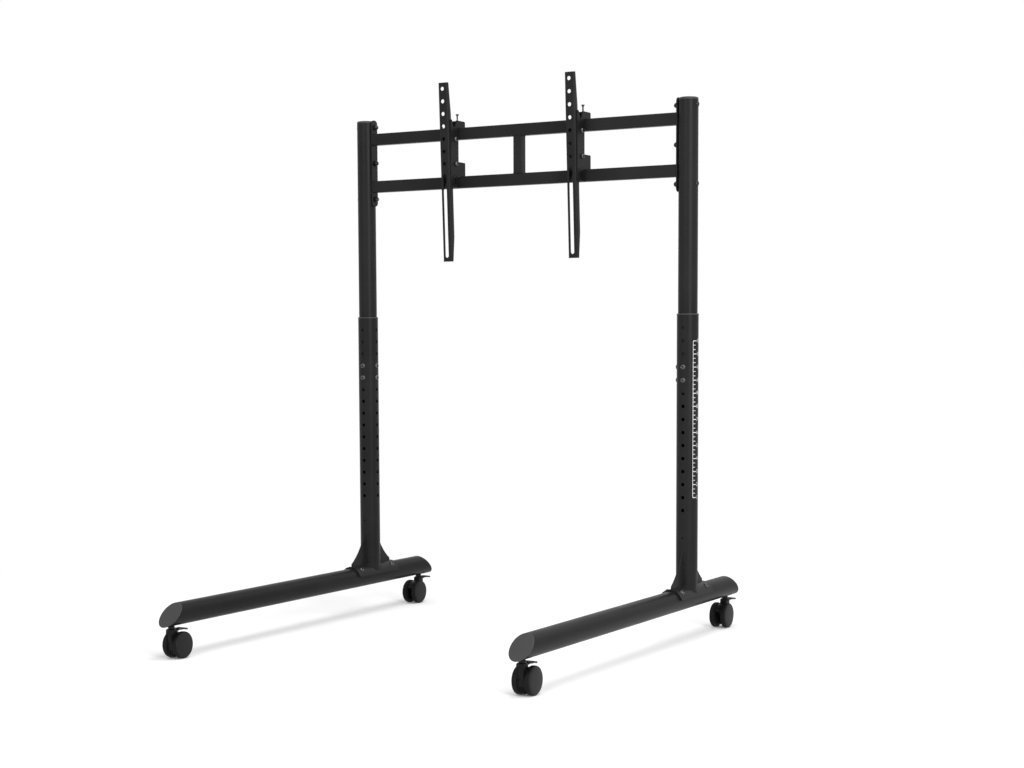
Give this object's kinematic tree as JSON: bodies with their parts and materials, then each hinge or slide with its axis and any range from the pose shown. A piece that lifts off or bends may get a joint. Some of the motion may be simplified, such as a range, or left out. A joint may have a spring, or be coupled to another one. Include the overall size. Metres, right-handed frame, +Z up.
{
  "type": "wheeled screen floor stand",
  "caption": "Wheeled floor stand for a flat screen: tube legs on swivel casters, telescopic columns, a cross frame of flat bars and slotted, tilting screen arms on hook brackets.",
  "frame": {"origin": "on the floor, at the middle of the footprint", "axes": "+Z up, -Y towards the side where the screen hangs, +X to the right of a viewer who faces that side"},
  "size_m": [0.9436, 1.082, 1.3165],
  "materials": {
    "powder_coat": "satin black powder coat",
    "leg_coat": "satin black powder coat, a little smoother",
    "black_plastic": "moulded black plastic",
    "wheel_plastic": "hard dark wheel plastic",
    "black_steel": "black zinc-plated steel"
  },
  "bodies": {
    "legs": {"base_tube_left": "leg_coat", "front_cap_left": "black_plastic", "back_cap_left": "black_plastic", "lower_column_left": "powder_coat", "collar_left": "black_plastic", "base_tube_right": "leg_coat", "front_cap_right": "black_plastic", "back_cap_right": "black_plastic", "lower_column_right": "powder_coat", "collar_right": "black_plastic", "caster_stem_front_left": "black_steel", "caster_stem_front_right": "black_steel", "caster_stem_back_left": "black_steel", "caster_stem_back_right": "black_steel"},
    "upper_frame": {"upper_crossbar": "powder_coat", "lower_crossbar": "powder_coat", "center_post": "powder_coat", "upper_tube_left": "powder_coat", "top_cap_left": "black_plastic", "end_plate_left": "powder_coat", "plate_bolt_top_left": "black_steel", "plate_bolt_middle_left": "black_steel", "plate_bolt_bottom_left": "black_steel", "upper_tube_right": "powder_coat", "top_cap_right": "black_plastic", "end_plate_right": "powder_coat", "plate_bolt_top_right": "black_steel", "plate_bolt_middle_right": "black_steel", "plate_bolt_bottom_right": "black_steel"},
    "bracket_left": {"hook_bracket_left": "powder_coat", "pivot_bolt_left": "black_steel"},
    "arm_left": {"screen_arm_left": "powder_coat", "tilt_bolt_left": "black_steel"},
    "screw_left": {"level_screw_left": "black_steel"},
    "bracket_right": {"hook_bracket_right": "powder_coat", "pivot_bolt_right": "black_steel"},
    "arm_right": {"screen_arm_right": "powder_coat", "tilt_bolt_right": "black_steel"},
    "screw_right": {"level_screw_right": "black_steel"},
    "swivel_front_left": {"caster_fork_front_left": "black_plastic", "caster_axle_front_left": "black_steel"},
    "wheel_front_left_left": {"caster_wheel_front_left_left": "wheel_plastic"},
    "wheel_front_left_right": {"caster_wheel_front_left_right": "wheel_plastic"},
    "pedal_front_left": {"brake_pedal_front_left": "leg_coat"},
    "swivel_front_right": {"caster_fork_front_right": "black_plastic", "caster_axle_front_right": "black_steel"},
    "wheel_front_right_left": {"caster_wheel_front_right_left": "wheel_plastic"},
    "wheel_front_right_right": {"caster_wheel_front_right_right": "wheel_plastic"},
    "pedal_front_right": {"brake_pedal_front_right": "leg_coat"},
    "swivel_back_left": {"caster_fork_back_left": "black_plastic", "caster_axle_back_left": "black_steel"},
    "wheel_back_left_left": {"caster_wheel_back_left_left": "wheel_plastic"},
    "wheel_back_left_right": {"caster_wheel_back_left_right": "wheel_plastic"},
    "pedal_back_left": {"brake_pedal_back_left": "leg_coat"},
    "swivel_back_right": {"caster_fork_back_right": "black_plastic", "caster_axle_back_right": "black_steel"},
    "wheel_back_right_left": {"caster_wheel_back_right_left": "wheel_plastic"},
    "wheel_back_right_right": {"caster_wheel_back_right_right": "wheel_plastic"},
    "pedal_back_right": {"brake_pedal_back_right": "leg_coat"}
  },
  "joints": [
    {"name": "height_slide", "type": "slide", "parent": "legs", "child": "upper_frame", "axis": [0, 0, 1], "range_m": [-0.27, 0.09]},
    {"name": "bracket_slide_left", "type": "slide", "parent": "upper_frame", "child": "bracket_left", "axis": [1, 0, 0], "range_m": [-0.22, 0.14]},
    {"name": "arm_tilt_left", "type": "hinge", "parent": "bracket_left", "child": "arm_left", "pos_m": [-0.1627, 0.242, 1.1835], "axis": [1, 0, 0], "range_deg": [-2.5, 5]},
    {"name": "level_screw_turn_left", "type": "hinge", "parent": "bracket_left", "child": "screw_left", "pos_m": [-0.1737, 0.269, 1.21265], "axis": [0, 0, 1], "continuous": true},
    {"name": "bracket_slide_right", "type": "slide", "parent": "upper_frame", "child": "bracket_right", "axis": [1, 0, 0], "range_m": [-0.16, 0.22]},
    {"name": "arm_tilt_right", "type": "hinge", "parent": "bracket_right", "child": "arm_right", "pos_m": [0.1828, 0.242, 1.1835], "axis": [1, 0, 0], "range_deg": [-2.5, 5]},
    {"name": "level_screw_turn_right", "type": "hinge", "parent": "bracket_right", "child": "screw_right", "pos_m": [0.1718, 0.269, 1.21265], "axis": [0, 0, 1], "continuous": true},
    {"name": "caster_swivel_front_left", "type": "hinge", "parent": "legs", "child": "swivel_front_left", "pos_m": [-0.4425, -0.512, 0.0735], "axis": [0, 0, 1], "continuous": true},
    {"name": "wheel_spin_front_left_left", "type": "hinge", "parent": "swivel_front_left", "child": "wheel_front_left_left", "pos_m": [-0.4425, -0.492, 0.03], "axis": [1, 0, 0], "continuous": true},
    {"name": "wheel_spin_front_left_right", "type": "hinge", "parent": "swivel_front_left", "child": "wheel_front_left_right", "pos_m": [-0.4425, -0.492, 0.03], "axis": [1, 0, 0], "continuous": true},
    {"name": "brake_pedal_front_left", "type": "hinge", "parent": "swivel_front_left", "child": "pedal_front_left", "pos_m": [-0.4425, -0.497, 0.0646], "axis": [1, 0, 0], "range_deg": [-15, 0]},
    {"name": "caster_swivel_front_right", "type": "hinge", "parent": "legs", "child": "swivel_front_right", "pos_m": [0.4425, -0.512, 0.0735], "axis": [0, 0, 1], "continuous": true},
    {"name": "wheel_spin_front_right_left", "type": "hinge", "parent": "swivel_front_right", "child": "wheel_front_right_left", "pos_m": [0.4425, -0.492, 0.03], "axis": [1, 0, 0], "continuous": true},
    {"name": "wheel_spin_front_right_right", "type": "hinge", "parent": "swivel_front_right", "child": "wheel_front_right_right", "pos_m": [0.4425, -0.492, 0.03], "axis": [1, 0, 0], "continuous": true},
    {"name": "brake_pedal_front_right", "type": "hinge", "parent": "swivel_front_right", "child": "pedal_front_right", "pos_m": [0.4425, -0.497, 0.0646], "axis": [1, 0, 0], "range_deg": [-15, 0]},
    {"name": "caster_swivel_back_left", "type": "hinge", "parent": "legs", "child": "swivel_back_left", "pos_m": [-0.4425, 0.495, 0.0735], "axis": [0, 0, 1], "continuous": true},
    {"name": "wheel_spin_back_left_left", "type": "hinge", "parent": "swivel_back_left", "child": "wheel_back_left_left", "pos_m": [-0.4425, 0.475, 0.03], "axis": [1, 0, 0], "continuous": true},
    {"name": "wheel_spin_back_left_right", "type": "hinge", "parent": "swivel_back_left", "child": "wheel_back_left_right", "pos_m": [-0.4425, 0.475, 0.03], "axis": [1, 0, 0], "continuous": true},
    {"name": "brake_pedal_back_left", "type": "hinge", "parent": "swivel_back_left", "child": "pedal_back_left", "pos_m": [-0.4425, 0.51, 0.0646], "axis": [1, 0, 0], "range_deg": [-15, 0]},
    {"name": "caster_swivel_back_right", "type": "hinge", "parent": "legs", "child": "swivel_back_right", "pos_m": [0.4425, 0.495, 0.0735], "axis": [0, 0, 1], "continuous": true},
    {"name": "wheel_spin_back_right_left", "type": "hinge", "parent": "swivel_back_right", "child": "wheel_back_right_left", "pos_m": [0.4425, 0.475, 0.03], "axis": [1, 0, 0], "continuous": true},
    {"name": "wheel_spin_back_right_right", "type": "hinge", "parent": "swivel_back_right", "child": "wheel_back_right_right", "pos_m": [0.4425, 0.475, 0.03], "axis": [1, 0, 0], "continuous": true},
    {"name": "brake_pedal_back_right", "type": "hinge", "parent": "swivel_back_right", "child": "pedal_back_right", "pos_m": [0.4425, 0.51, 0.0646], "axis": [1, 0, 0], "range_deg": [-15, 0]}
  ]
}
